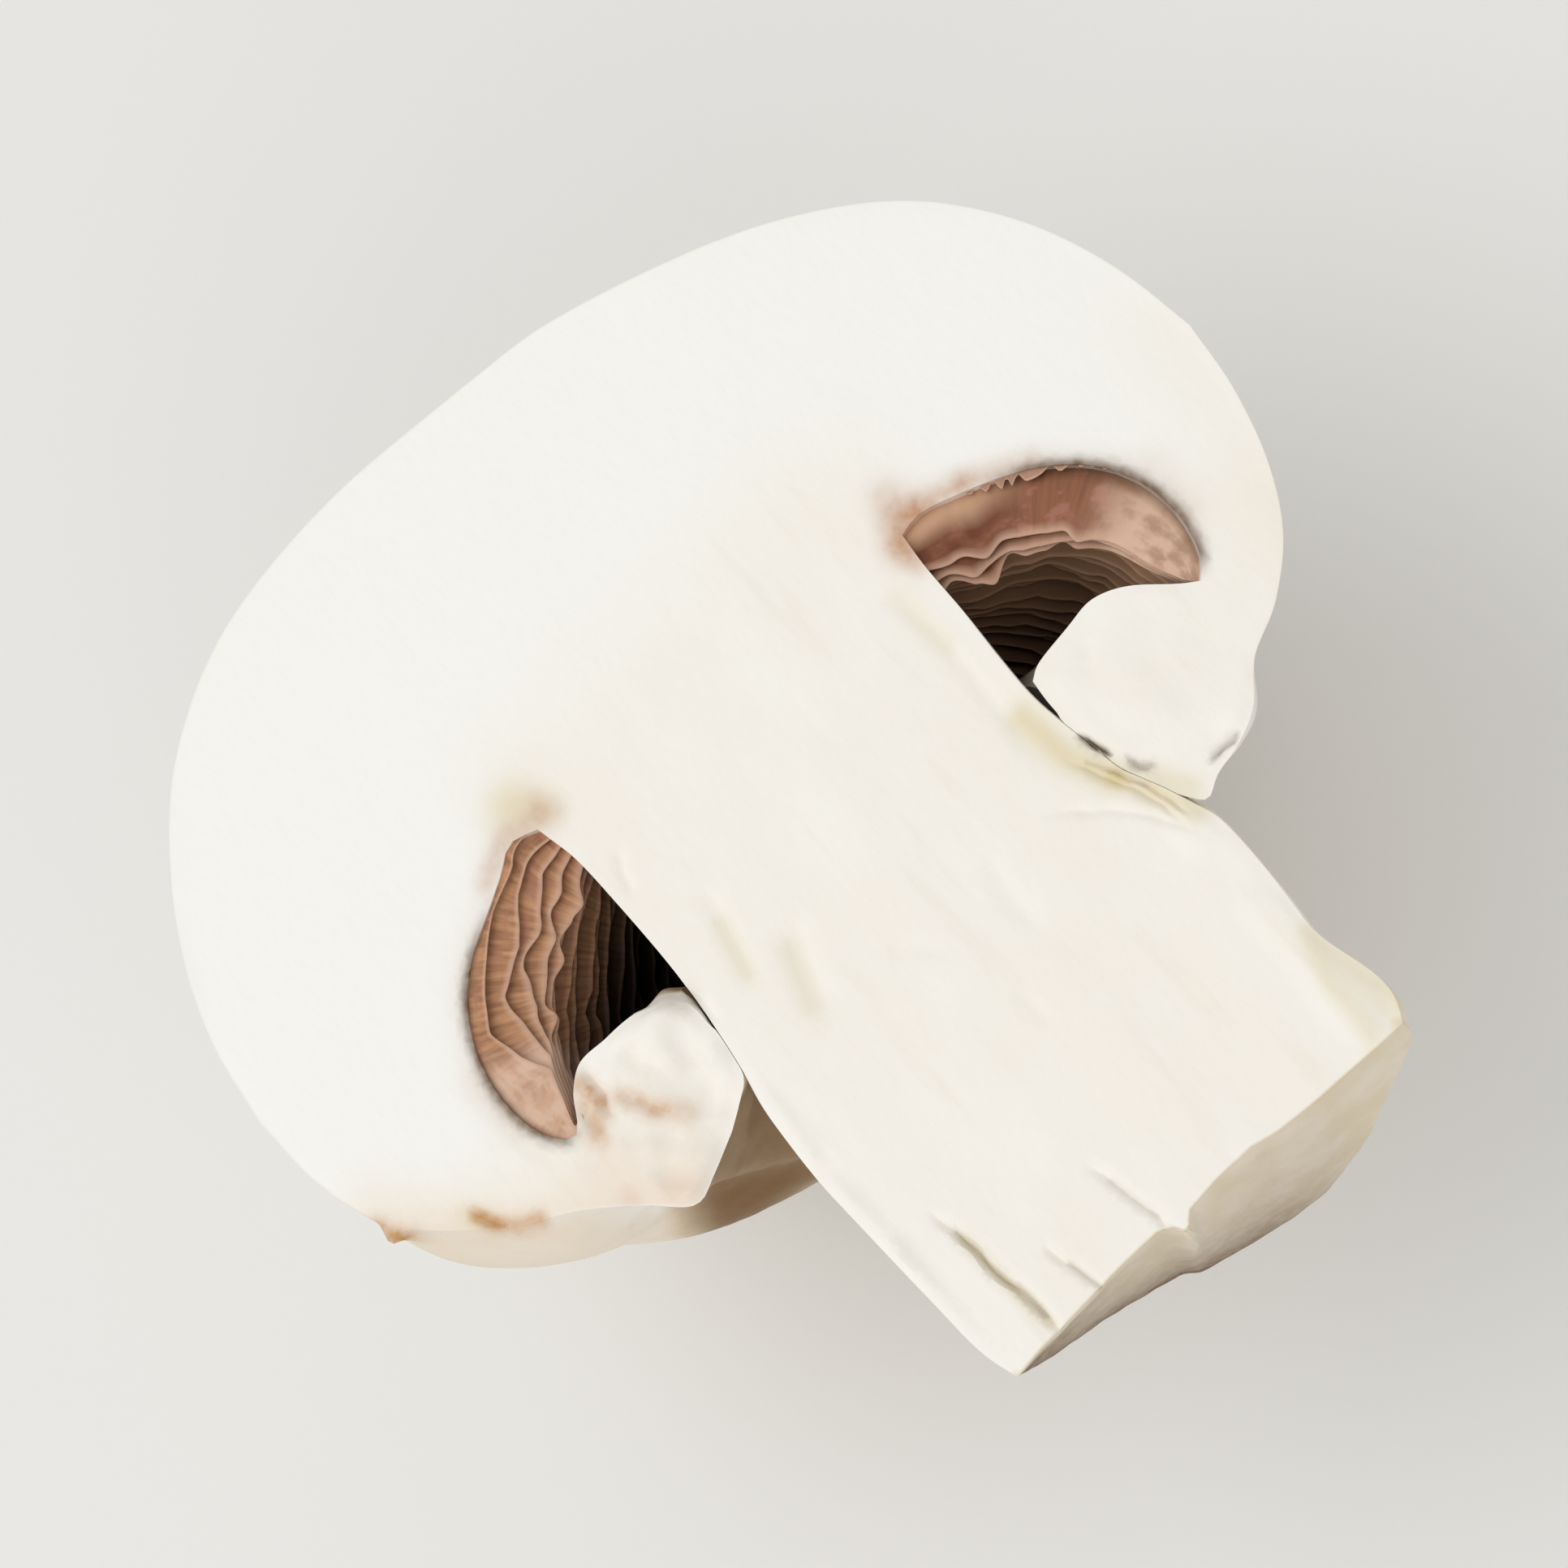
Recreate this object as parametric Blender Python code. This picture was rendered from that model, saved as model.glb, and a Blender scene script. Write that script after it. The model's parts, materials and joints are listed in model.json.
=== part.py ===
"""Half a button mushroom, cut lengthwise through cap and stem, lying on its round back with the cut face up.

The cap, the in-rolled rim, the gills and the stem grew as one body, so they are one solid.
Outlines are drawn in the plane of the cut, in millimetres: r is the distance from the stem's axis, and
a is the height along that axis, from the stem's cut end to the top of the cap. The cut shows a right and
a left outline, and the half turn below the cut face blends one into the other. The stem points along -Y.
"""

import math

import bmesh
import bpy
from mathutils import Vector

MM = 0.001

# Driving dimensions, in millimetres.
TOP = 51.4  # height of the cap's crown above the stem's cut end
RIGHT_RADIUS = 24.8
LEFT_RADIUS = 26.9
RIGHT_SHOULDER = 30.0  # height at which each side of the cap is widest
LEFT_SHOULDER = 31.2
RIGHT_FULLNESS = 2.0  # superellipse exponent: 2 is an ellipse, more is squarer
LEFT_FULLNESS = 2.7
BACK_BULGE = 0.3  # how far the back of the cap swells beyond the blend of its two sides
REST_DEPTH = 25.9  # depth below the cut face at which the back is pressed flat by what it lies on
RIGHT_TUCK = 1.9  # behind the cut on the right, the cap tucks in and its rim rises
RIGHT_RISE = 4.0
LEFT_SAG = 0.9  # behind the cut on the left, the rim hangs lower on its outside and is higher on its inside
LEFT_INNER_RISE = 2.0
STEM_FLARE = 1.5  # how far the stem's end spreads on the right
END_SLOPE = 0.17  # the stem's cut end slopes up behind the cut, and more steeply on the left
END_TWIST = 0.022  # how much the slope changes with each millimetre across
END_BLEND = 6.0  # height over which the stem's side follows the slope of its end

STEPS = 48  # angular steps of the half turn: every second one carries a gill, and both ends are in the cut face

# Each outline below continues from the end of the one before it: rim, lip, roof or gill edge, stem.
RIGHT = {
    "rim": [(24.7, 28.0), (24.2, 25.4), (23.2, 22.4), (21.9, 20.0), (19.8, 18.0), (17.6, 16.8), (16.1, 15.2),
            (14.6, 14.4), (13.3, 14.0), (12.6, 14.4), (11.9, 15.6), (11.0, 17.4), (10.5, 19.0), (10.3, 21.0)],
    "lip": [(10.3, 21.0), (10.4, 22.6), (11.0, 23.4), (12.6, 23.7), (14.1, 23.8), (15.6, 23.1), (17.0, 21.8),
            (18.0, 21.0)],
    "roof": [(18.0, 21.0), (18.8, 22.0), (19.15, 24.2), (18.7, 26.8), (17.7, 28.5), (16.2, 29.9), (14.5, 30.9),
             (12.6, 31.7), (11.0, 32.2), (9.9, 31.8), (9.7, 30.2)],
    "gill": [(18.0, 21.0), (17.0, 23.0), (16.4, 25.0), (15.4, 26.5), (14.2, 27.8), (12.8, 28.6), (11.3, 29.2),
             (9.7, 30.2)],
    "stem": [(9.7, 30.2), (9.6, 26.0), (9.6, 21.6), (10.0, 18.9), (10.4, 17.0), (11.2, 15.0), (11.8, 13.0),
             (12.1, 10.0), (12.0, 6.8), (11.7, 3.8), (11.2, 1.6), (10.7, 0.0)],
}
LEFT = {
    "rim": [(26.6, 28.0), (25.8, 25.4), (24.2, 23.2), (21.6, 21.0), (19.0, 19.3), (16.8, 17.5), (15.1, 16.1),
            (13.6, 16.4), (12.1, 17.2), (11.2, 18.1), (10.5, 19.4), (10.2, 21.2)],
    "lip": [(10.2, 21.2), (10.3, 22.8), (10.9, 23.7), (12.0, 24.2), (13.6, 24.3), (15.0, 24.2), (15.9, 23.5),
            (16.8, 22.1)],
    "roof": [(16.8, 22.1), (17.7, 22.6), (18.4, 24.6), (18.3, 27.0), (17.5, 29.1), (16.2, 30.8), (13.9, 32.3),
             (12.4, 33.2), (11.2, 33.8), (10.0, 33.3), (9.5, 31.4)],
    "gill": [(16.8, 22.1), (16.5, 23.6), (15.9, 25.4), (15.0, 27.0), (13.6, 28.5), (12.1, 29.7), (10.7, 30.6),
             (9.5, 31.4)],
    "stem": [(9.5, 31.4), (9.4, 28.0), (9.4, 24.6), (9.6, 21.4), (9.9, 18.9), (10.3, 16.6), (10.5, 13.0),
             (10.4, 9.9), (10.2, 5.5), (10.0, 2.2), (9.6, 0.0)],
}
SAMPLES = {"cap": 12, "rim": 14, "lip": 8, "roof": 10, "gill": 10, "stem": 11, "stem_end": 4}
CAP_TURN = math.radians(86)  # the cap's superellipse ends just above its shoulder, where the rim takes over


def superellipse(radius, shoulder, fullness, count):
    """Points from the crown on the axis out to just above the widest point of the cap."""
    points = []
    for i in range(count):
        turn = CAP_TURN * i / (count - 1)
        r = radius * math.sin(turn) ** (2 / fullness)
        a = shoulder + (TOP - shoulder) * math.cos(turn) ** (2 / fullness)
        points.append((r, a))
    return points


def smooth(points):
    """Many points on the Catmull-Rom curve that runs through the given ones."""
    fine = []
    steps_each = 16
    padded = [points[0], *points, points[-1]]
    for p0, p1, p2, p3 in zip(padded, padded[1:], padded[2:], padded[3:]):
        for i in range(steps_each):
            t = i / steps_each
            fine.append(tuple(
                0.5 * (2 * b + (c - a) * t + (2 * a - 5 * b + 4 * c - d) * t ** 2 + (3 * b - a - 3 * c + d) * t ** 3)
                for a, b, c, d in zip(p0, p1, p2, p3)
            ))
    return [*fine, points[-1]]


def evenly(points, count):
    """count points at equal distances along the smooth curve, starting on its first and stopping before its last."""
    fine = smooth(points)
    lengths = [0.0]
    for p, q in zip(fine, fine[1:]):
        lengths.append(lengths[-1] + math.dist(p, q))
    found = []
    k = 0
    for i in range(count):
        wanted = lengths[-1] * i / count
        while lengths[k + 1] < wanted:
            k += 1
        t = (wanted - lengths[k]) / (lengths[k + 1] - lengths[k])
        found.append(tuple(p + (q - p) * t for p, q in zip(fine[k], fine[k + 1])))
    return found


def meridian(side, radius, shoulder, fullness, with_gill):
    """One side's outline, from the crown round the rim and through the gill chamber to the stem's cut end."""
    underside = "gill" if with_gill else "roof"
    points = superellipse(radius, shoulder, fullness, SAMPLES["cap"])
    for name in ("rim", "lip", underside, "stem"):
        points += evenly(side[name], SAMPLES[name])
    corner = side["stem"][-1][0]
    points += [(corner * (1 - i / SAMPLES["stem_end"]), 0.0) for i in range(SAMPLES["stem_end"])]
    return points


def fade(low, high, value):
    """0 at low, 1 at high and smooth between."""
    t = min(max((value - low) / (high - low), 0), 1)
    return t * t * (3 - 2 * t)


def swell(turn, peak, end):
    """0 at no turn, then up to 1 at the peak and back to 0 at the end."""
    return math.sin(min(turn / peak, 1) * math.pi / 2) * fade(end, peak, turn)


def uneven(r, a, turn):
    """Moves a point of the outline at that turn, because the mushroom isn't quite round."""
    r -= RIGHT_TUCK * swell(turn, 0.5, 1.5) * (1 + 0.6 * fade(30, 20, a)) * fade(12, 24, r)
    a += RIGHT_RISE * swell(turn, 0.75, 1.9) * fade(34, 20, a) * fade(7, 13, a)
    from_left = math.pi - turn
    inner = fade(19, 14, r) * fade(9, 13, a) * fade(24, 20, a)
    a += LEFT_INNER_RISE * swell(from_left, 0.6, 1.6) * inner
    a -= LEFT_SAG * swell(from_left, 0.3, 1.2) * fade(17, 21, r) * fade(29, 23, a)
    r += STEM_FLARE * fade(0.6, 0.1, turn) * fade(6.5, 1.0, a) * fade(9, 11, r)
    return r, a


def ring(step):
    """The outline at one step of the half turn, as points below the cut face."""
    turn = math.pi * step / STEPS
    with_gill = step % 2 == 1
    right = meridian(RIGHT, RIGHT_RADIUS, RIGHT_SHOULDER, RIGHT_FULLNESS, with_gill)
    left = meridian(LEFT, LEFT_RADIUS, LEFT_SHOULDER, LEFT_FULLNESS, with_gill)
    share = (1 + math.cos(turn)) / 2
    points = []
    for (r1, a1), (r2, a2) in zip(right, left):
        r = r1 * share + r2 * (1 - share)
        a = a1 * share + a2 * (1 - share)
        r += BACK_BULGE * math.sin(turn) * r / RIGHT_RADIUS
        r, a = uneven(r, a, turn)
        x = r * math.cos(turn)
        depth = min(r * math.sin(turn), REST_DEPTH)
        a += depth * max(END_SLOPE - END_TWIST * x, 0.07) * fade(END_BLEND, 0, a)
        points.append(Vector((x, a, -depth)) * MM)
    return points


def half_mushroom_mesh():
    """The closed surface: a half turn of outlines below one flat cut face at z = 0, which faces +Z."""
    bm = bmesh.new()
    crown = bm.verts.new((0, TOP * MM, 0))
    foot = bm.verts.new((0, 0, 0))
    rings = []
    for step in range(STEPS + 1):
        # The first point of each outline is the crown, which all of them share.
        rings.append([crown, *(bm.verts.new(p) for p in ring(step)[1:]), foot])
    for this, following in zip(rings, rings[1:]):
        for j in range(len(this) - 1):
            corners = [this[j], this[j + 1], following[j + 1], following[j]]
            corners = list(dict.fromkeys(corners))
            bm.faces.new(corners)
    bm.faces.new([*rings[0], *reversed(rings[-1][1:-1])])
    bmesh.ops.recalc_face_normals(bm, faces=bm.faces)
    mesh = bpy.data.meshes.new("button_mushroom")
    bm.to_mesh(mesh)
    bm.free()
    mesh.shade_smooth()
    mesh.set_sharp_from_angle(angle=math.radians(40))
    return mesh


def flesh_material():
    material = bpy.data.materials.new("mushroom_flesh")
    material.use_nodes = True
    shader = material.node_tree.nodes["Principled BSDF"]
    shader.inputs["Base Color"].default_value = (0.91, 0.88, 0.81, 1)
    shader.inputs["Roughness"].default_value = 0.6
    shader.inputs["Metallic"].default_value = 0.0
    return material


def set_on_ground(obj):
    """Moves the half so that its back touches the ground and the origin is under its middle."""
    xs, ys, zs = zip(*(v.co for v in obj.data.vertices))
    obj.location = (-(min(xs) + max(xs)) / 2, -(min(ys) + max(ys)) / 2, -min(zs))


def main():
    for obj in list(bpy.data.objects):
        bpy.data.objects.remove(obj)
    mushroom = bpy.data.objects.new("button_mushroom", half_mushroom_mesh())
    mushroom.data.materials.append(flesh_material())
    bpy.context.scene.collection.objects.link(mushroom)
    set_on_ground(mushroom)


main()
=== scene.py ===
"""The looks of a halved button mushroom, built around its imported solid.

Outlines are in millimetres in the plane of the cut: r is the distance from the stem's axis and a the height
along it, from the stem's cut end to the top of the cap. In space a point is (x, a, n): x across the cut face,
a along the stem and n out of the cut face, so everything below the cut has a negative n. phi is the angle of
the half turn behind the cut, from 0 at the right outline to pi at the left one.
"""
import json
import math

import bpy
import numpy as np
from mathutils import Matrix, Vector
from mathutils.geometry import delaunay_2d_cdt


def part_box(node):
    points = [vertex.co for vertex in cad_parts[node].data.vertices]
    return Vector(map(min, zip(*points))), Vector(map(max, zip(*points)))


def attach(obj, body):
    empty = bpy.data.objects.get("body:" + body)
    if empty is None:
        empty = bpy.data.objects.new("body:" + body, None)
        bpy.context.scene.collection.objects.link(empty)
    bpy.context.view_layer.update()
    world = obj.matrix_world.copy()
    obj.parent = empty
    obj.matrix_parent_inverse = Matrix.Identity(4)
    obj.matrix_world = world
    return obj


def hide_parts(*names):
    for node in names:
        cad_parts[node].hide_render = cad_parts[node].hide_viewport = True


NODE = "button_mushroom"
MM = 0.001
CROWN = 51.4  # height of the top of the cap on the stem's axis

# ---------------------------------------------------------------------------------------------------------
# The section that the knife left, in millimetres
# ---------------------------------------------------------------------------------------------------------

# Each curve continues from the end of the one before it, from the crown round to the stem's cut end.
# The gill curves are the gills' free edges, from the rim's lip to the stem.
RIGHT = {
    "cap": [(0.0, CROWN), (4.6, 50.8), (10.8, 48.8), (15.6, 46.4), (19.5, 43.3), (22.4, 39.1), (24.1, 34.6),
            (24.8, 30.0)],
    "rim": [(24.8, 30.0), (24.4, 26.4), (23.4, 22.8), (21.9, 20.0), (19.8, 18.0), (17.6, 16.8), (16.1, 15.2),
            (14.6, 14.4), (13.2, 14.0), (12.3, 13.5), (11.8, 13.9), (11.3, 15.1), (10.8, 16.4),
            (10.4, 17.6), (10.3, 18.7), (10.0, 20.0), (9.85, 21.4), (9.95, 22.9)],
    "lip": [(9.95, 22.9), (10.7, 23.35), (12.6, 23.65), (14.1, 23.8), (15.6, 23.1), (17.0, 21.8),
            (18.0, 21.0)],
    "roof": [(18.0, 21.0), (18.7, 21.8), (19.1, 23.2), (19.15, 24.9), (18.7, 26.8), (17.7, 28.5),
             (16.2, 29.9), (14.5, 30.9), (12.6, 31.7), (11.0, 32.2), (9.9, 32.0)],
    "stem": [(9.9, 32.0), (9.75, 30.2), (9.7, 27.5), (9.55, 24.8), (9.5, 22.6), (9.65, 21.0), (10.0, 18.9),
             (10.25, 17.3), (10.7, 16.2), (11.2, 15.0), (11.65, 13.7), (12.05, 12.3), (12.1, 9.6),
             (11.9, 6.4), (11.6, 3.8), (11.2, 1.6), (10.7, 0.1)],
    "gill": [(17.6, 21.6), (17.0, 23.0), (16.4, 25.0), (15.4, 26.5), (14.2, 27.8), (12.8, 28.6), (11.3, 29.0),
             (9.9, 30.0)],
}
LEFT = {
    "cap": [(0.0, CROWN), (6.7, 51.8), (12.4, 51.25), (16.5, 49.9), (20.3, 47.3), (23.1, 43.9), (25.1, 40.3),
            (26.4, 36.5), (26.95, 32.5)],
    "rim": [(26.95, 32.5), (26.7, 28.6), (25.8, 25.4), (24.2, 23.2), (21.6, 21.0), (19.0, 19.3), (16.8, 17.5),
            (15.1, 15.9), (13.6, 16.3), (12.1, 17.1), (10.9, 17.9), (10.1, 18.7), (9.8, 20.2), (9.75, 21.8),
            (9.85, 22.9)],
    "lip": [(9.85, 22.9), (10.6, 23.6), (12.0, 24.2), (13.6, 24.3), (15.0, 24.3), (15.9, 23.6), (16.6, 22.4)],
    "roof": [(16.6, 22.4), (17.2, 21.9), (18.0, 22.9), (18.4, 24.4), (18.4, 26.2), (17.9, 28.2), (16.8, 30.1),
             (15.4, 31.4), (13.9, 32.3), (12.4, 33.2), (11.2, 34.0), (9.9, 33.6)],
    "stem": [(9.9, 33.6), (9.5, 31.4), (9.4, 28.4), (9.4, 24.6), (9.6, 21.4), (9.9, 18.9), (10.3, 16.6),
             (10.5, 13.0), (10.4, 9.9), (10.2, 5.5), (10.0, 2.2), (9.5, 0.2)],
    "gill": [(16.9, 22.3), (16.5, 23.6), (15.9, 25.4), (15.0, 27.0), (13.6, 28.5), (12.1, 29.7), (10.7, 30.6),
             (9.7, 31.6)],
}
# The edge between the cut face and the stem's cut end, as (x, a).
END_EDGE = [(-9.5, 0.0), (-8.0, 0.25), (-5.5, 0.45), (-3.0, 0.65), (-1.2, 0.7), (-0.65, 0.45), (-0.35, -0.15),
            (-0.05, -0.1), (0.45, 0.45), (2.0, 0.6), (4.0, 0.65), (5.2, 0.3), (7.0, 0.1), (10.6, 0.0)]

SAMPLES = {"cap": 88, "rim": 106, "lip": 40, "roof": 30, "stem": 80, "end": 34}
RINGS = 156
CUT_GRID = 0.29  # spacing of the points inside the cut face
CUT_ROWS = 0.866  # distance between rows of those points, as a share of that spacing
CUT_JITTER = 0.22  # how far they are moved at random, as a share of that spacing
CRACK_STEP = 0.14  # spacing of the points along a crack
CURVE_STEPS = 24  # points worked out between two given points of a curve

# Tears that are both cut into the flesh and coloured.
VEIL_TEAR_UPPER = [(9.9, 19.5), (10.1, 18.9), (10.3, 18.1)]
VEIL_TEAR_LOWER = [(10.8, 17.2), (11.0, 16.8), (11.35, 16.4)]
RIM_TEAR = [(13.5, 14.65), (14.1, 14.75), (14.8, 14.7)]
RIM_CRACK = [(-22.4, 22.3), (-21.9, 21.4), (-21.3, 20.8), (-20.5, 20.3)]

# Cracks, dents and small tears in the cut face: each has its points (x, a), its half width and its depth.
CRACKS = [
    ([(-7.9, 8.7), (-7.6, 7.0), (-7.4, 5.9), (-7.35, 4.2), (-7.1, 3.0), (-6.9, 0.3)], 0.16, 0.5),
    ([(-5.15, 3.9), (-4.8, 2.4), (-4.6, 1.4), (-4.4, 0.4)], 0.14, 0.25),
    ([(-1.7, 5.4), (-1.3, 3.9), (-1.0, 2.6), (-0.8, 1.3), (-0.5, 0.0)], 0.16, 0.25),
    ([(-6.0, 26.6), (-6.5, 24.6), (-7.2, 21.6)], 0.4, 0.16),
    ([(-9.3, 23.4), (-9.4, 21.4)], 0.2, 0.15),
    ([(-4.3, 23.0), (-4.9, 20.9), (-5.9, 18.4)], 0.6, 0.22),
    ([(3.8, 18.8), (3.4, 16.6), (3.2, 14.4)], 0.45, 0.12),
    ([(-2.2, 18.4), (-1.2, 17.6), (-0.2, 16.6)], 0.35, 0.08),
    ([(0.9, 13.2), (1.1, 11.0)], 0.3, 0.08),
    ([(-8.0, 30.6), (-8.3, 29.4), (-8.7, 28.4)], 0.22, 0.12),
    ([(7.6, 31.0), (8.1, 29.0), (8.3, 26.0), (8.1, 22.6), (8.0, 19.6)], 0.35, 0.13),
    ([(6.3, 18.3), (8.2, 16.8), (9.8, 14.9), (10.9, 12.8)], 0.16, 0.13),
    ([(8.7, 19.6), (9.5, 17.6), (10.2, 15.9), (10.9, 13.2)], 0.14, 0.2),
    ([(9.3, 18.6), (10.0, 17.3), (10.6, 15.9), (11.3, 13.6)], 0.12, 0.25),
    (VEIL_TEAR_UPPER, 0.14, 0.5),
    (VEIL_TEAR_LOWER, 0.16, 0.4),
    (RIM_TEAR, 0.15, 0.35),
    ([(12.7, 22.9), (12.4, 22.0), (11.8, 21.3)], 0.35, 0.10),
    ([(-12.6, 23.4), (-12.9, 22.4), (-12.7, 21.4)], 0.45, 0.3),
    ([(-15.1, 24.0), (-14.9, 22.9), (-15.3, 22.0), (-15.2, 21.2)], 0.22, 0.35),
    ([(-14.5, 22.3), (-14.0, 20.9), (-13.2, 19.5)], 0.3, 0.25),
    ([(-16.0, 23.0), (-16.2, 22.0), (-16.0, 21.0)], 0.25, 0.2),
    ([(-10.6, 19.7), (-11.6, 19.2), (-12.4, 18.2)], 0.4, 0.18),
    (RIM_CRACK, 0.28, 0.3),
]

# Colour strokes near the cut face. Each has its points (x, a), its half width and its strength.
STROKES = {
    "bruise": [
        ([(9.9, 31.6), (10.6, 32.4)], 1.0, 0.6), ([(10.1, 32.9), (10.4, 33.9)], 0.8, 0.32),
        ([(9.3, 31.9), (9.5, 30.4)], 0.45, 0.3), ([(11.4, 32.4), (13.2, 31.9)], 0.6, 0.36),
        ([(13.4, 31.8), (16.0, 30.4)], 0.6, 0.3), ([(-9.6, 34.0), (-11.2, 34.4), (-13.0, 33.5)], 0.55, 0.35),
        ([(-8.9, 33.7), (-9.2, 34.6)], 0.6, 0.25),
        ([(-18.9, 24.2), (-18.9, 27.0)], 0.7, 0.14), ([(19.8, 24.0), (19.7, 26.5)], 0.9, 0.10),
    ],
    "yellow": [
        ([(-10.1, 35.2)], 1.2, 0.65), ([(-9.0, 34.0)], 0.8, 0.3),
        ([(-7.5, 6.5), (-7.3, 4.0), (-7.1, 1.0)], 0.3, 0.45),
        ([(-22.7, 22.7), (-22.2, 21.8)], 0.5, 0.5),
        ([(-5.2, 21.6), (-5.9, 18.8)], 0.5, 0.3), ([(-6.6, 24.6), (-7.1, 22.0)], 0.4, 0.35),
        ([(8.0, 30.0), (8.2, 27.0)], 0.6, 0.25), ([(8.6, 22.0), (8.9, 19.5), (9.7, 17.4)], 0.75, 0.75),
        ([(10.0, 16.8), (11.5, 13.4)], 0.6, 0.6), ([(11.3, 16.0), (12.1, 14.4)], 0.5, 0.4),
        ([(12.4, 5.0), (12.2, 3.2), (12.6, 0.4)], 0.9, 0.5),
        ([(11.6, 6.0), (10.9, 3.4), (10.8, 0.4)], 0.5, 0.4),
    ],
    "stain": [
        ([(-15.4, 22.9), (-15.3, 22.5)], 0.3, 0.85),
        ([(-15.6, 23.6), (-15.9, 22.4), (-16.3, 21.1)], 0.6, 0.55),
        ([(-14.6, 21.9), (-13.9, 20.5), (-13.0, 19.2)], 0.5, 0.65),
        ([(-26.3, 24.9), (-25.7, 23.9)], 0.6, 1.7),
        (RIM_CRACK, 0.34, 1.0),
        ([(-24.9, 23.6), (-23.0, 21.2)], 0.6, 0.2), ([(-14.9, 16.6), (-15.6, 16.9), (-17.0, 18.1)], 0.7, 0.2),
        ([(-16.8, 20.0), (-14.0, 17.8)], 1.3, 0.12),
    ],
    "line": [
        (VEIL_TEAR_UPPER, 0.13, 0.9), (VEIL_TEAR_LOWER, 0.15, 0.45), (RIM_TEAR, 0.15, 0.4),
        ([(9.4, 18.5), (10.1, 17.2), (10.6, 15.9)], 0.1, 0.22),
        ([(-7.6, 7.0), (-7.35, 4.2), (-7.0, 1.4)], 0.12, 0.35), ([(-4.8, 2.4), (-4.5, 0.8)], 0.12, 0.25),
        # The last stroke here is painted shade on the left lobe's shoulder, where its top slopes away behind
        # the cut.
        ([(-1.3, 3.9), (-0.8, 1.3)], 0.12, 0.2), ([(-12.2, 24.9), (-10.8, 24.3), (-9.8, 23.0)], 0.5, 0.38),
    ],
}


def smooth_curve(points, count):
    """count + 1 evenly spaced points on the Catmull-Rom curve through the given ones."""
    p = np.array(points, float)
    p = np.vstack([2 * p[0] - p[1], p, 2 * p[-1] - p[-2]])
    t = np.linspace(0, 1, CURVE_STEPS, endpoint=False)[:, None]
    parts = []
    for a, b, c, d in zip(p, p[1:], p[2:], p[3:]):
        parts.append(0.5 * (
            2 * b + (c - a) * t + (2 * a - 5 * b + 4 * c - d) * t**2 + (3 * b - a - 3 * c + d) * t**3
        ))
    fine = np.vstack([*parts, p[-2]])
    length = np.concatenate([[0], np.cumsum(np.linalg.norm(np.diff(fine, axis=0), axis=1))])
    wanted = np.linspace(0, length[-1], count + 1)
    return np.column_stack([np.interp(wanted, length, fine[:, i]) for i in range(2)])


def outline(side):
    """The whole outline of one side, from the crown to just before the middle of the stem's cut end."""
    parts = [smooth_curve(side[zone], SAMPLES[zone])[:-1] for zone in ("cap", "rim", "lip", "roof", "stem")]
    # The samples of the cut end crowd towards its middle, where it has a ridge.
    share = 1 - np.linspace(1, 0, SAMPLES["end"], endpoint=False)[:, None] ** 1.3
    parts.append(np.array(side["stem"][-1]) * (1 - share))
    return np.vstack(parts)


def columns(values):
    """One number per outline sample: values gives each zone's number, or its (first, last) numbers."""
    parts = []
    for zone, count in SAMPLES.items():
        first, last = values.get(zone, (0, 0))
        parts.append(np.linspace(first, last, count, endpoint=False))
    return np.concatenate(parts)


def zone_slice(zone):
    """Which outline samples belong to the zone."""
    names = list(SAMPLES)
    start = sum(SAMPLES[name] for name in names[:names.index(zone)])
    return slice(start, start + SAMPLES[zone])


def between(phi, right, left):
    """Blends a right and a left value or curve for the angle phi of the half turn."""
    share = (1 + np.cos(phi)) / 2
    return right * share + left * (1 - share)


def smoothstep(low, high, value):
    """0 at low, 1 at high and smooth between. low may be above high."""
    t = np.clip((value - low) / (high - low), 0, 1)
    return t * t * (3 - 2 * t)


def rise_and_fall(value, peak, end):
    """0 at 0, then up to 1 at the peak and back to 0 at the end."""
    return np.sin(np.clip(value / peak, 0, 1) * math.pi / 2) * smoothstep(end, peak, value)


def path_distance(x, a, points):
    """Distance of each (x, a) from a path, and how far along it the nearest place is, from 0 to 1."""
    p = np.array(points, float)
    step = np.linalg.norm(np.diff(p, axis=0), axis=1)
    start = np.concatenate([[0], np.cumsum(step)])
    best = np.full(np.shape(x), 1e9)
    along = np.zeros(np.shape(x))
    for (x0, a0), (x1, a1), s0, s in zip(p, p[1:], start, step):
        t = np.clip(((x - x0) * (x1 - x0) + (a - a0) * (a1 - a0)) / s**2, 0, 1)
        far = np.hypot(x - x0 - t * (x1 - x0), a - a0 - t * (a1 - a0))
        nearer = far < best
        best = np.where(nearer, far, best)
        along = np.where(nearer, (s0 + t * s) / start[-1], along)
    return best, along


# ---------------------------------------------------------------------------------------------------------
# Noise, the same on each run
# ---------------------------------------------------------------------------------------------------------

def hashed(cells, seed):
    """A number from -1 to 1 for each whole-numbered cell."""
    h = np.full(len(cells), 2166136261 + 374761393 * seed, dtype=np.uint64)
    for axis, prime in enumerate((73856093, 19349663, 83492791)):
        h ^= (cells[:, axis] + 5000).astype(np.uint64) * np.uint64(prime)
        h = (h * np.uint64(2654435761)) & np.uint64(0xFFFFFFFF)
        h ^= h >> np.uint64(15)
    return (h & np.uint64(0xFFFFFF)).astype(float) / 0x7FFFFF - 1


def noise(points, cell, seed):
    """Smooth noise from -1 to 1 at each point. cell is its lumps' size: a number, or one for each axis."""
    grid = points / np.array(cell, float)
    base = np.floor(grid)
    t = grid - base
    t = t * t * (3 - 2 * t)
    cells = base.astype(np.int64)
    total = np.zeros(len(points))
    for corner in np.ndindex(2, 2, 2):
        weight = np.prod(np.where(corner, t, 1 - t), axis=1)
        total += weight * hashed(cells + np.array(corner), seed)
    return total


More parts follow.
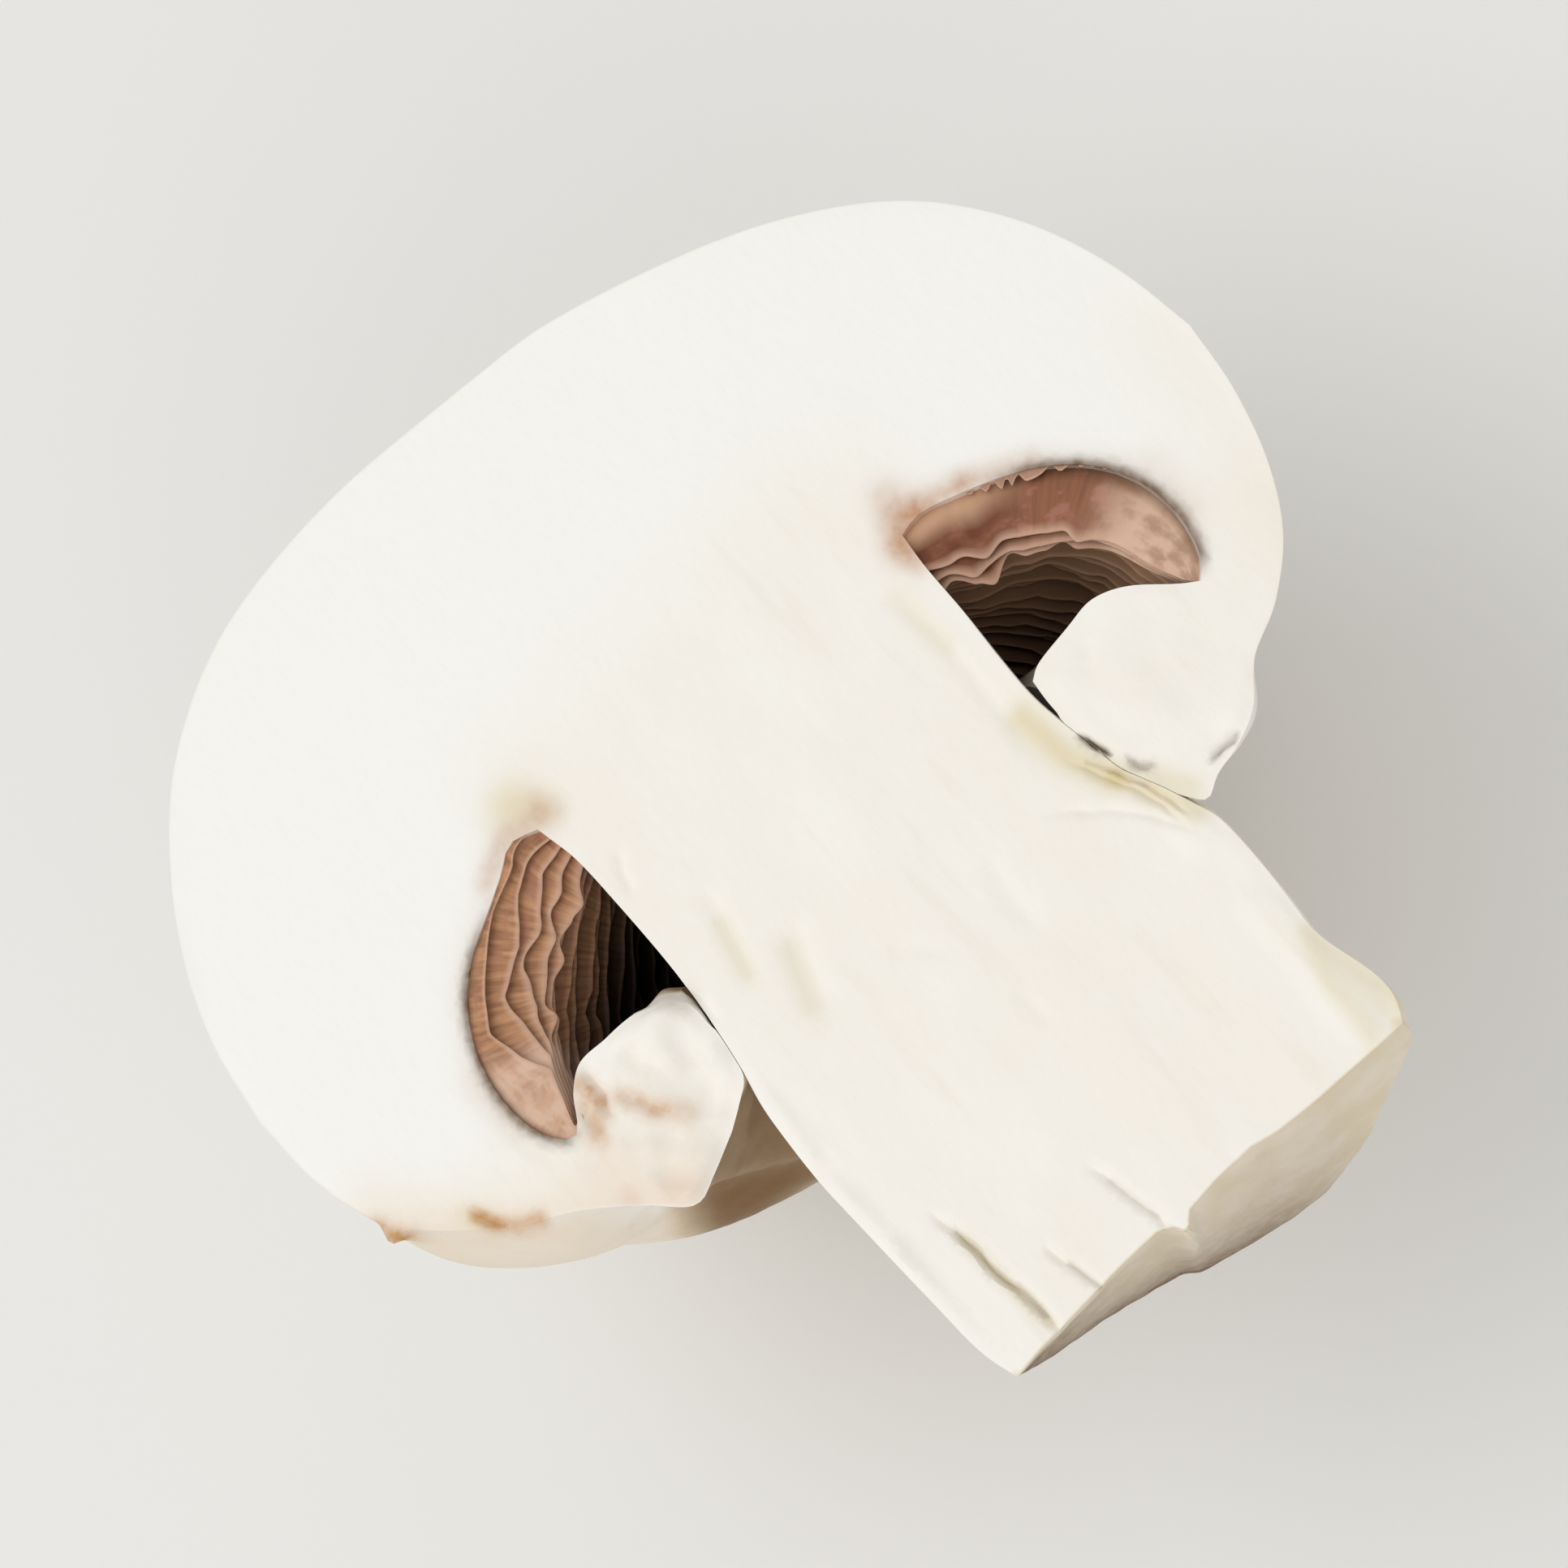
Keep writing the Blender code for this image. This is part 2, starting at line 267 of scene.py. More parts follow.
def layered(points, layers):
    """The sum of several noises, each given as (height, size of its lumps, seed)."""
    return sum(height * noise(points, cell, seed) for height, cell, seed in layers)


# ---------------------------------------------------------------------------------------------------------
# How the shape changes behind the cut
# ---------------------------------------------------------------------------------------------------------

# How far the outline moves behind the cut, in millimetres.
RIGHT_TUCK = 1.9
RIGHT_RISE = 4.0
LIP_DELAY = 0.12  # the right lip starts to rise this many radians later
LEFT_SAG = 0.85
LEFT_SPREAD = 0.45  # how far the left rim moves out, as a share of how far it hangs
LEFT_INNER_RISE = 3.0
LEFT_SHOULDER_RISE = 1.4
STEM_FLARE = 1.5

END_SLOPE = 0.17  # how far the cut end slopes up per millimetre behind the cut, on the axis
END_TWIST = 0.022  # how much that slope falls per millimetre to the right
END_SLOPE_LIMITS = (0.07, 0.40)
END_RIDGE = 0.45  # height and width of the ridge
END_FACET = 0.35

def warped(r, a, phi):
    """Moves outline points (r, a) at the angle phi, because the mushroom isn't quite round."""
    # On the right the cap tucks in behind the cut and its rim rises.
    tuck = RIGHT_TUCK * rise_and_fall(phi, 0.5, 1.5) * (1 + 0.6 * smoothstep(30, 20, a))
    delay = LIP_DELAY * smoothstep(16, 12, r) * smoothstep(16, 19, a)
    rise = RIGHT_RISE * rise_and_fall(np.maximum(phi - delay, 0), 0.75, 1.9)
    r = r - tuck * smoothstep(12, 24, r)
    a = a + rise * smoothstep(34, 20, a) * smoothstep(7, 13, a)
    # On the left the rim hangs in a wave.
    back = math.pi - phi
    outer = smoothstep(17, 21, r) * smoothstep(29, 23, a)
    wave = -0.35 * np.exp(-(((back - 0.95) / 0.18) ** 2)) - 0.7 * np.exp(-(((back - 0.42) / 0.12) ** 2))
    sag = outer * (LEFT_SAG * rise_and_fall(back, 0.2, 0.75) + wave)
    inner = smoothstep(20.5, 15, r) * smoothstep(9, 13, a) * smoothstep(24, 20, a)
    shoulder = smoothstep(12.8, 10.5, r) * smoothstep(17, 21, a) * smoothstep(29, 25, a)
    r = r + LEFT_SPREAD * sag
    a = a - sag + LEFT_INNER_RISE * inner * rise_and_fall(back, 0.6, 1.6)
    a = a + LEFT_SHOULDER_RISE * shoulder * rise_and_fall(back, 0.22, 0.7)
    # The stem's end flares on the right.
    r = r + STEM_FLARE * smoothstep(0.6, 0.1, phi) * smoothstep(6.5, 1.0, a) * smoothstep(9, 11, r)
    return r, a


def cut_end(r, a, phi):
    """Slants the stem's cut end, which was cut in two strokes that left a ridge between them."""
    end, stem = zone_slice("end"), zone_slice("stem")
    x, depth = r * np.cos(phi), r * np.sin(phi)
    slant = depth * np.clip(END_SLOPE - END_TWIST * x, *END_SLOPE_LIMITS)
    edge_x, edge_a = np.array(END_EDGE).T
    edge = np.interp(x, edge_x, edge_a) * smoothstep(3.5, 0, depth)
    across = x + 0.25 + 0.15 * depth
    ridge = END_RIDGE * np.exp(-((across / END_RIDGE) ** 2))
    ridge = ridge * smoothstep(0, 1.0, depth) * smoothstep(7, 2, depth)
    facet = END_FACET * smoothstep(0, -0.9, across) * smoothstep(-8, -2, across) * smoothstep(0, 2, depth)
    shift = slant + edge - ridge + facet
    a = a.copy()
    a[:, stem] += shift[:, stem][:, -1:] * smoothstep(6, 0, a[:, stem])
    a[:, end] += shift[:, end]
    return a


def space(r, a, phi):
    """Points (x, a, n) at distance r from the axis, height a and angle phi of the half turn."""
    return np.stack(np.broadcast_arrays(r * np.cos(phi), a, -r * np.sin(phi)), axis=-1)


# ---------------------------------------------------------------------------------------------------------
# The body: cap, rim, gill chamber and stem as one closed mesh
# ---------------------------------------------------------------------------------------------------------

def outer_grid():
    """Points of the outside and the gill chamber: a row for each angle, a column for each outline sample."""
    right, left = outline(RIGHT), outline(LEFT)
    phi = np.linspace(0, math.pi, RINGS + 1)[:, None]
    r = between(phi, right[None, :, 0], left[None, :, 0])
    a = between(phi, right[None, :, 1], left[None, :, 1])
    r, a = warped(r, a, phi)
    return space(r, cut_end(r, a, phi), phi)


def grid_normals(grid):
    """Outward unit normals of the grid."""
    normal = np.cross(np.gradient(grid, axis=1), np.gradient(grid, axis=0))
    return normal / np.maximum(np.linalg.norm(normal, axis=2, keepdims=True), 1e-9)


SKIN_FLAP = (-25.7, 24.5, -0.4)  # a small flap of skin that the knife pushed out
FLAP_HEIGHT, FLAP_SIZE = 0.8, 0.6
EDGE_SHARE = 0.3  # how much of the unevenness is left in the plane of the cut

# The unevenness of each part, as layers of noise: (height, size of its lumps, seed).
SKIN_BUMPS = [(0.28, 13, 1), (0.11, 5, 2), (0.03, 1.6, 3), (0.012, 0.7, 4)]
TORN_BUMPS = [(0.10, 1.7, 5), (0.06, 0.8, 6)]
STEM_BUMPS = [(0.12, (2.2, 9, 2.2), 7), (0.05, (0.7, 6, 0.7), 8)]
END_BUMPS = [(0.08, 1.8, 9), (0.04, 0.7, 10)]
CUT_BUMPS = [(0.01, 0.9, 20), (0.05, 5, 21)]
CUT_STEM_BUMPS = [(0.006, (0.8, 5, 1), 22), (0.05, (2.6, 8, 1), 23)]
LEFT_LOBE_BUMPS = [(0.36, 2.3, 24), (0.2, 1.0, 25)]
RIGHT_LOBE_BUMPS = [(0.14, 2.6, 28), (0.05, 1.1, 29)]


def roughened(grid):
    """The grid with the unevenness of skin, torn rim and stem. The cut face's edge stays in its plane."""
    normal = grid_normals(grid)
    flat = grid.reshape(-1, 3)
    rows = len(grid)
    rim_share = columns({"rim": (0, 1), "lip": (1, 1)})
    skin = np.tile(columns({"cap": (1, 1), "rim": (1, 1)}) * smoothstep(0.7, 0.55, rim_share), rows)
    torn = np.tile(smoothstep(0.4, 0.6, rim_share), rows)
    stem = np.tile(columns({"stem": (1, 1)}), rows)
    end = np.tile(columns({"end": (1, 1)}), rows)
    away = 1 - np.exp(-np.linalg.norm(flat - (0, CROWN, 0), axis=1) / 3)
    push = away * skin * layered(flat, SKIN_BUMPS)
    ragged = torn * np.where(flat[:, 0] < 0, 1.5, 0.8)
    push += ragged * layered(flat, TORN_BUMPS)
    push += stem * layered(flat, STEM_BUMPS)
    push += end * layered(flat, END_BUMPS)
    # In the plane of the cut the outline stays nearly as drawn.
    push = push.reshape(grid.shape[:2])
    push[0] *= EDGE_SHARE
    push[-1] *= EDGE_SHARE
    push += FLAP_HEIGHT * np.exp(-((np.linalg.norm(grid - SKIN_FLAP, axis=2) / FLAP_SIZE) ** 2))
    moved = grid + normal * push[..., None]
    moved[0, :, 2] = 0
    moved[-1, :, 2] = 0
    return moved


RIM_GAP = 0.1  # between the rim's torn edge and the stem
VEIL_GAP = 0.03  # what is left of that gap near the cut, where the torn veil still bridges it
VEIL_START = 0.72  # share of the rim's outline beyond which it can


def keep_clear(grid):
    """Keeps the rim's torn edge just off the stem, and nearly shuts the gap where the veil bridges it."""
    rim, lip = zone_slice("rim"), zone_slice("lip")
    edge = slice(rim.start + SAMPLES["rim"] // 2, lip.start + SAMPLES["lip"] // 3)
    stem = zone_slice("stem")
    for phi, row in zip(np.linspace(0, math.pi, len(grid)), grid):
        radius = np.hypot(row[:, 0], row[:, 2])
        order = np.argsort(row[stem, 1])
        a = row[edge, 1]
        stem_radius = np.interp(a, row[stem, 1][order], radius[stem][order])
        wanted = np.maximum(radius[edge], stem_radius + RIM_GAP)
        veil = smoothstep(0.5, 0.1, phi) * smoothstep(21.2, 20.5, a) * smoothstep(14.0, 14.6, a)
        veil += smoothstep(0.5, 0.1, math.pi - phi) * smoothstep(21.6, 20.9, a) * smoothstep(18.4, 19.0, a)
        close = np.arange(edge.start, edge.stop) > rim.start + VEIL_START * SAMPLES["rim"]
        wanted += close * veil * (stem_radius + VEIL_GAP - wanted)
        row[edge, 0] *= wanted / radius[edge]
        row[edge, 2] *= wanted / radius[edge]
    return grid


def crack_line(points):
    """A crack's path with close points, wandering a little."""
    length = sum(math.dist(p, q) for p, q in zip(points, points[1:]))
    line = smooth_curve(points, round(length / CRACK_STEP))
    flat = np.column_stack([line, np.zeros(len(line))])
    return line + 0.1 * np.column_stack([noise(flat, 0.7, 26), noise(flat, 0.7, 27)])


def crack_relief(x, a, lines):
    """How far the cracks go down at each point, as a negative number."""
    lift = np.zeros(len(x))
    for line, (_, width, depth) in zip(lines, CRACKS):
        far, along = path_distance(x, a, line)
        ends = smoothstep(0, 0.25, along) * smoothstep(1.1, 0.8, along)
        lift -= depth * ends * np.exp(-((far / width) ** 2))
    return lift


def relief(x, a):
    """How far each point of the cut face stands above the knife's plane, apart from cracks."""
    flat = np.column_stack([x, a, np.zeros_like(x)])
    stem = smoothstep(36, 28, a) * smoothstep(13.5, 9, np.abs(x))
    lift = layered(flat, CUT_BUMPS)
    lift += stem * layered(flat, CUT_STEM_BUMPS)
    left_lobe = smoothstep(-9.2, -10.5, x) * smoothstep(-17.5, -15.5, x) * smoothstep(25, 23.5, a)
    right_lobe = smoothstep(9.6, 11, x) * smoothstep(19, 16, x) * smoothstep(24, 22, a)
    lift += left_lobe * (layered(flat, LEFT_LOBE_BUMPS) + 0.25)
    lift += right_lobe * (layered(flat, RIGHT_LOBE_BUMPS) + 0.1)
    # The stem's outer layer sinks away beside the flare at its end.
    lift -= 0.12 * smoothstep(0, 1.6, x - 10.4 - 0.18 * a) * smoothstep(7, 4, a)
    return lift


BATCH = 4000  # points compared with the border at a time, to save memory


def border_distance(points, border):
    """Distance of each point from the border loop."""
    best = np.full(len(points), 1e9)
    for start in range(0, len(points), BATCH):
        part = points[start:start + BATCH, None]
        p, q = border[None], np.roll(border, -1, axis=0)[None]
        t = np.clip(((part - p) * (q - p)).sum(2) / ((q - p) ** 2).sum(2), 0, 1)
        best[start:start + BATCH] = np.linalg.norm(part - p - t[..., None] * (q - p), axis=2).min(axis=1)
    return best


def cut_face(border, lines):
    """The points (x, a) of the cut face, first those of its border loop, and the triangles on them."""
    low, high = border.min(axis=0), border.max(axis=0)
    rows = []
    for k, a in enumerate(np.arange(low[1], high[1], CUT_GRID * CUT_ROWS)):
        xs = np.arange(low[0] + CUT_GRID / 2 * (k % 2), high[0], CUT_GRID)
        rows.append(np.column_stack([xs, np.full(len(xs), a)]))
    field = np.vstack(rows)
    number = np.column_stack([np.arange(len(field)), np.zeros((len(field), 2), int)])
    field += CUT_GRID * CUT_JITTER * np.column_stack([hashed(number, 30), hashed(number, 31)])
    # Rows of points along the cracks keep them crisp.
    fine = []
    for line, (_, width, _) in zip(lines, CRACKS):
        ahead = np.gradient(line, axis=0)
        aside = np.column_stack([ahead[:, 1], -ahead[:, 0]]) / np.linalg.norm(ahead, axis=1)[:, None]
        offsets = [0, 0.7 * width, -0.7 * width, 1.6 * width, -1.6 * width]
        fine += [line + offset * aside for offset in offsets]
        field = field[path_distance(field[:, 0], field[:, 1], line)[0] > 1.6 * width + 0.12]
    # So do rows of points just inside the border.
    edge = np.roll(border, -1, axis=0) - np.roll(border, 1, axis=0)
    inward = np.column_stack([edge[:, 1], -edge[:, 0]]) / np.linalg.norm(edge, axis=1)[:, None]
    for step in (0.12, 0.32):
        row = border + inward * step
        fine.append(row[border_distance(row, border) > step * 0.9])
    fine = np.vstack(fine)
    fine = fine[border_distance(fine, border) > 0.07]
    field = field[border_distance(field, border) > 0.45]
    points = np.vstack([border, fine, field])
    loop = list(range(len(border)))[::-1]
    _, _, triangles, origin, _, _ = delaunay_2d_cdt([Vector(p) for p in points], [], [loop], 1, 1e-6)
    numbers = [o[0] if o else -1 for o in origin]
    assert min(numbers) >= 0, "the cut face's border crosses itself"
    return points, [[numbers[v] for v in triangle] for triangle in triangles]


def new_object(name, points, faces, attributes, material):
    """A mesh object from points (x, a, n) in millimetres. Each attribute has a number or vector per point."""
    mesh = bpy.data.meshes.new(name)
    mesh.from_pydata((ORIGIN + points * MM).tolist(), [], faces)
    for label, values in attributes.items():
        kind = "FLOAT" if values.ndim == 1 else "FLOAT_VECTOR"
        layer = mesh.attributes.new(label, kind, "POINT")
        layer.data.foreach_set("value" if kind == "FLOAT" else "vector", values.astype(np.float32).ravel())
    mesh.materials.append(material)
    obj = bpy.data.objects.new(name, mesh)
    bpy.context.scene.collection.objects.link(obj)
    mesh.shade_smooth()
    return obj


def roof_marks(x, a):
    """Strength of the brown line along each chamber's roof, and of the faint flush beside it."""
    line = np.zeros(len(x))
    flush = np.zeros(len(x))
    for sign, side, fades in ((1, RIGHT, (0.78, 0.6)), (-1, LEFT, (0.82, 0.6))):
        roof = smooth_curve(side["roof"], 60) * (sign, 1)
        far, along = path_distance(x, a, roof)
        line += 0.95 * np.exp(-((far / 0.3) ** 2)) * smoothstep(*fades, along) * smoothstep(0, 0.08, along)
        flush += 0.14 * np.exp(-((far / 0.9) ** 2)) * smoothstep(0.05, 0.2, along)
    return line, flush


def stroke_marks(x, a, name):
    """Strength of the named colour's strokes."""
    total = np.zeros(len(x))
    for points, width, strength in STROKES[name]:
        path = points if len(points) > 1 else points + [(points[0][0], points[0][1] + 0.01)]
        total += strength * np.exp(-((path_distance(x, a, path)[0] / width) ** 2))
    return total


def body_marks(points, column):
    """What the flesh's material needs to know about each point, by attribute name."""
    x, a, n = points.T
    depth = -n
    on_cut = column < 0
    near_cut = smoothstep(1.2, 0.0, depth)
    rim_share = columns({"rim": (0, 1), "lip": (1, 1)})
    stem_share = columns({"stem": (0, 1)})

    def along_outline(values):
        return np.where(on_cut, 0, values[column])

    skin = along_outline(columns({"cap": (1, 1), "rim": (1, 1)}) * smoothstep(0.6, 0.48, rim_share))
    skin *= 0.4 + 0.6 * smoothstep(0, 1.4, depth)
    from_left = np.arctan2(depth, -x)
    fold = columns({"rim": (1, 1), "lip": (1, 0)})
    # Partly the rim's own tan-brown underside, partly painted shade: beside the stem on the left, behind the
    # cut, it deepens to dark brown where shade falls under the lobe.
    underside_brown_and_shade = 0.5 * smoothstep(0.42, 0.8, rim_share) * fold
    browned_and_shaded = smoothstep(0.2, 0.46, rim_share) * (1 - 0.2 * smoothstep(0.5, 0.7, rim_share)) * fold
    beside_stem = smoothstep(-16.5 - 0.3 * depth, -13.2 - 0.15 * depth, x)
    beside_stem = beside_stem * smoothstep(1.6, 0.7, from_left)
    turned = beside_stem * smoothstep(0.2, 1.5, depth) * (1 - 0.7 * smoothstep(12, 20, depth))
    # Painted shade: inside the gill chamber the lip, the stem and the roof darken to near black behind the
    # cut, though their flesh is pale.
    chamber = np.maximum.reduce([
        columns({"lip": (0.3, 1)}),
        columns({"stem": (1, 1)}) * smoothstep(0.42, 0.25, stem_share),
        0.4 * smoothstep(0.85, 1, columns({"rim": (0, 1)})),
    ])
    roof = along_outline(columns({"roof": (1, 1)}))
    shaded = smoothstep(0.1, np.where(x > 0, 1.8, 4.0), depth)
    chamber_shade = np.maximum(along_outline(chamber) * shaded, roof * smoothstep(0.1, 1.5, depth))
    line, flush = roof_marks(x, a)
    # Darker along the outer edge of the stem's cut end, more so on its left, fading in behind the cut.
    darker_end_rim = along_outline(columns({"end": (1, 0.5)}) ** 5)
    darker_end_rim = darker_end_rim * smoothstep(0.3, 1.5, depth) * smoothstep(9, -1, x)
    stem = smoothstep(42, 34, a) * smoothstep(14, 8.5, np.abs(x)) + smoothstep(26, 22, a)
    bark = along_outline(columns({"stem": (1, 1)}) * smoothstep(0.3, 0.5, stem_share))
    left_rim = [(-r, height) for r, height in LEFT["rim"][2:8]]
    border_left = np.exp(-((path_distance(x, a, left_rim)[0] / 1.7) ** 2))
    border_right = np.exp(-((path_distance(x, a, RIGHT["rim"][:4])[0] / 3.5) ** 2))
    peach = np.where(on_cut, 0.75 * border_left + 0.3 * border_right, smoothstep(31, 22, a) * skin)
    return {
        "skin": skin,
        "underside_brown_and_shade": np.maximum(
            along_outline(underside_brown_and_shade) * smoothstep(0.5, 5, depth),
            along_outline(browned_and_shaded) * turned,
        ),
        "chamber_shade": chamber_shade,
        "line": np.clip((line + stroke_marks(x, a, "line")) * near_cut + darker_end_rim, 0, 1),
        "stem": np.clip(stem, 0, 1),
        "bruise": np.clip((flush + stroke_marks(x, a, "bruise")) * near_cut, 0, 1),
        "yellow": np.clip(stroke_marks(x, a, "yellow") * smoothstep(2.6, 0.4, depth), 0, 1),
        "stain": np.clip(stroke_marks(x, a, "stain") * smoothstep(1.8, 0.2, depth), 0, 1),
        "peach": peach,
        "bark": bark * smoothstep(0, 1, depth),
        "end": along_outline(columns({"end": (1, 1)})),
    }


def make_body(material):
    grid = keep_clear(roughened(outer_grid()))
    rows, width = grid.shape[:2]
    grid[..., 2] = np.maximum(grid[..., 2], -REST_DEPTH)
    lines = [crack_line(points) for points, _, _ in CRACKS]
    points = np.vstack([(0, CROWN, 0), *grid[:, 1:], (0, 0, 0)])
    foot = len(points) - 1

    def at(i, j):
        """The number of the point in row i and column j: all rows share the crown and the foot."""
        return 0 if j == 0 else foot if j == width else 1 + i * (width - 1) + j - 1

    faces = []
    for i in range(rows - 1):
        for j in range(width):
            corners = [at(i, j), at(i + 1, j), at(i + 1, j + 1), at(i, j + 1)]
            faces.append(list(dict.fromkeys(corners)))
    loop = [at(0, j) for j in range(width + 1)] + [at(rows - 1, j) for j in range(width - 1, 0, -1)]
    border = points[loop][:, :2]
    flat, triangles = cut_face(border, lines)
    x, a = flat.T
    lift = crack_relief(x, a, lines)
    points[loop, 2] += lift[:len(loop)]
    lift += relief(x, a) * smoothstep(0, 0.5, border_distance(flat, border))
    inner = np.column_stack([x, a, lift])[len(loop):]
    numbers = np.array(loop + list(range(len(points), len(points) + len(inner))))
    points = np.vstack([points, inner])
    faces += [numbers[triangle].tolist() for triangle in triangles]
    column = np.concatenate([[0], np.tile(np.arange(1, width), rows), [width - 1], np.full(len(inner), -1)])
    obj = new_object("mushroom_flesh", points, faces, body_marks(points, column), material)
    obj.data.set_sharp_from_angle(angle=math.radians(50))
    return obj


# ---------------------------------------------------------------------------------------------------------
# The gills: thin wavy blades that hang from the roof of the chamber
# ---------------------------------------------------------------------------------------------------------

GILLS = 124
GILL_ROWS = (0, 0.3, 0.6, 0.84, 0.93, 1)  # where a blade's points lie, from its root to its free edge
GILL_LENGTH, GILL_WIDTH = 22, 3  # of a blade, roughly, for the scale of its noise
NEAR_BLADES = 7  # on each side this many blades next to the cut are finer
FINE_STEPS, COARSE_STEPS = 110, 26  # steps along a blade near the cut, and further back
ROOT_SINK = 0.35  # how deep a blade's root sits in the roof, and its last stretch in the stem
BLADE_HALF, BLADE_TAPER = 0.085, 0.05  # half the thickness at the root, and what is lost up to the edge
BELOW_CUT = 0.02  # the blades stay this far below the cut face
SWAY = [(0.34, (4.5, 5, 9), 43), (0.13, (1.4, 3, 5), 44)]

# The knife ran along the first blades. This is the width that it left of each, as (place, share) from rim
# to stem.
RIGHT_SHAVED = [
    [(0.0, 0.05), (0.3, 0.06), (0.5, 0.11), (0.62, 0.20), (0.72, 0.22), (0.82, 0.10), (1.0, 0.05)],
    [(0.0, 1.0), (0.5, 1.0), (0.85, 0.96), (1.0, 0.9)],
    [(0.0, 1.0), (0.5, 1.04), (0.8, 1.08), (1.0, 1.05)],
    [(0.0, 1.0), (0.5, 1.12), (0.75, 1.16), (1.0, 1.2)],
]
LEFT_SHAVED = [
    [(0.0, 1.0), (0.24, 1.0), (0.34, 0.62), (0.44, 0.34), (0.6, 0.26), (0.76, 0.14), (0.88, 0.22),
     (1.0, 0.1)],
    [(0.0, 1.0), (0.30, 1.0), (0.42, 0.72), (0.54, 0.46), (0.68, 0.52), (0.82, 0.34), (1.0, 0.4)],
    [(0.0, 1.0), (0.36, 1.0), (0.5, 0.84), (0.62, 0.66), (0.76, 0.72), (0.9, 0.56), (1.0, 0.6)],
    [(0.0, 1.0), (0.46, 1.0), (0.58, 0.90), (0.72, 0.90), (0.86, 0.78), (1.0, 0.84)],
    [(0.0, 1.0), (0.6, 1.0), (0.8, 1.06), (1.0, 1.0)],
]


def blade_width(k, u):
    """The width of blade k along its length, as a share of the full width."""
    along, none = u * GILL_LENGTH, np.zeros(len(u))
    ragged = noise(np.column_stack([along, np.full(len(u), 1.7 * k), none]), (1.6, 1, 1), 41)
    slow = noise(np.column_stack([along, np.full(len(u), 1.3 * k), none]), (7, 1, 1), 40)
    from_left = GILLS - 1 - k
    shaved = RIGHT_SHAVED[k] if k < len(RIGHT_SHAVED) else None
    if from_left < len(LEFT_SHAVED):
        shaved = LEFT_SHAVED[from_left]
    if shaved:
        place, share = np.array(shaved).T
        width = np.interp(u, place, share)
        if k == 0:
            comb = 0.5 + 0.5 * np.sin(u * 125 + 4 * ragged)
            return width * (0.5 + 0.7 * comb)
        return width * (1 + smoothstep(0.3, 0.5, u) * (0.13 * ragged + 0.07 * slow))
    width = 0.94 + 0.05 * ragged + 0.12 * slow
    if k % 2:
        reach = 0.5 + 0.15 * hashed(np.array([[k, 0, 0]]), 42)[0]
        width = width * 0.8 * smoothstep(reach, reach - 0.15, u)
    return width


def make_blade(k):
    """One blade's points, its quads, and for each point its place (along, number, across)."""
    phi = math.pi * (k + 0.45) / GILLS
    near = min(k, GILLS - 1 - k) < NEAR_BLADES
    steps = FINE_STEPS if near else COARSE_STEPS
    u = np.linspace(0, 1, steps + 1)
    v = np.array(GILL_ROWS)
    root = between(phi, *(smooth_curve(side["roof"], steps) for side in (RIGHT, LEFT)))
    edge = between(phi, *(smooth_curve(side["gill"], steps) for side in (RIGHT, LEFT)))
    outward = root - edge
    root = root + ROOT_SINK * outward / np.linalg.norm(outward, axis=1)[:, None]
    width = blade_width(k, u)[:, None, None]
    blade = root[:, None] + (edge - root)[:, None] * (v[None, :, None] * width)
    # The last stretch grows into the stem.
    blade[..., 0] -= ROOT_SINK * smoothstep(0.9, 1.0, u)[:, None]
    r, a = warped(blade[..., 0], blade[..., 1], phi)
    along, across = np.meshgrid(u, v, indexing="ij")
    number = np.full(along.size, float(k))
    where = np.column_stack([GILL_LENGTH * along.ravel(), number, GILL_WIDTH * across.ravel()])
    sway = layered(where, SWAY).reshape(along.shape)
    sway *= across**1.2 * (0.4 if near else 1.0)
    if near:
        sway += 0.03 * noise(where, (0.45, 1, 6), 45).reshape(along.shape)
    half = BLADE_HALF - BLADE_TAPER * across
    side = np.array([-math.sin(phi), 0, -math.cos(phi)])
    centre = space(r, a, phi)
    sheets = np.stack([centre + side * (sway + sign * half)[..., None] for sign in (1, -1)])
    sheets[..., 2] = np.minimum(sheets[..., 2], -BELOW_CUT)
    front, back = np.arange(sheets[..., 0].size).reshape(sheets.shape[:3])
    quads = []
    for i in range(steps):
        for j in range(len(v) - 1):
            quads.append([front[i, j], front[i, j + 1], front[i + 1, j + 1], front[i + 1, j]])
            quads.append([back[i, j], back[i + 1, j], back[i + 1, j + 1], back[i, j + 1]])
        quads.append([front[i, 0], front[i + 1, 0], back[i + 1, 0], back[i, 0]])
        quads.append([front[i, -1], back[i, -1], back[i + 1, -1], front[i + 1, -1]])
    for j in range(len(v) - 1):
        quads.append([front[0, j], back[0, j], back[0, j + 1], front[0, j + 1]])
        quads.append([front[-1, j], front[-1, j + 1], back[-1, j + 1], back[-1, j]])
    place = np.stack([along, number.reshape(along.shape), across], axis=-1)
    return sheets.reshape(-1, 3), np.array(quads), np.tile(place.reshape(-1, 3), (2, 1))


